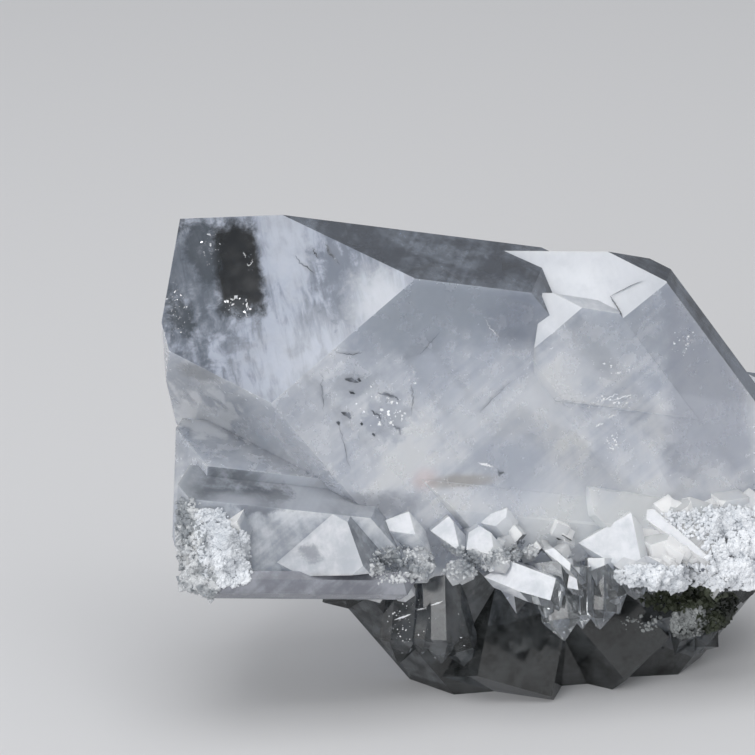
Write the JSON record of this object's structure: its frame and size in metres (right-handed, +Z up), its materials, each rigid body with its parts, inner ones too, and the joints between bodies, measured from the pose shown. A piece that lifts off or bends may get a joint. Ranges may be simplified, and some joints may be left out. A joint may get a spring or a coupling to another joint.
{
  "type": "faden quartz crystal cluster",
  "caption": "Plate of parallel clear to milky quartz crystals with broad flat faces, a ledge of small bright points and white druse along its foot, resting on a flat break.",
  "frame": {"origin": "centre of the bounding box at its bottom, on the level break it rests on", "axes": "+X along the plate from its bright left face to its right end, -Y the side the broad faces look to, +Z up; the plate leans back a little"},
  "size_m": [0.0752, 0.0342, 0.0524],
  "materials": {
    "quartz": "clear to milky, glassy faces"
  },
  "bodies": {
    "root": {"quartz_cluster": "quartz"}
  },
  "joints": []
}
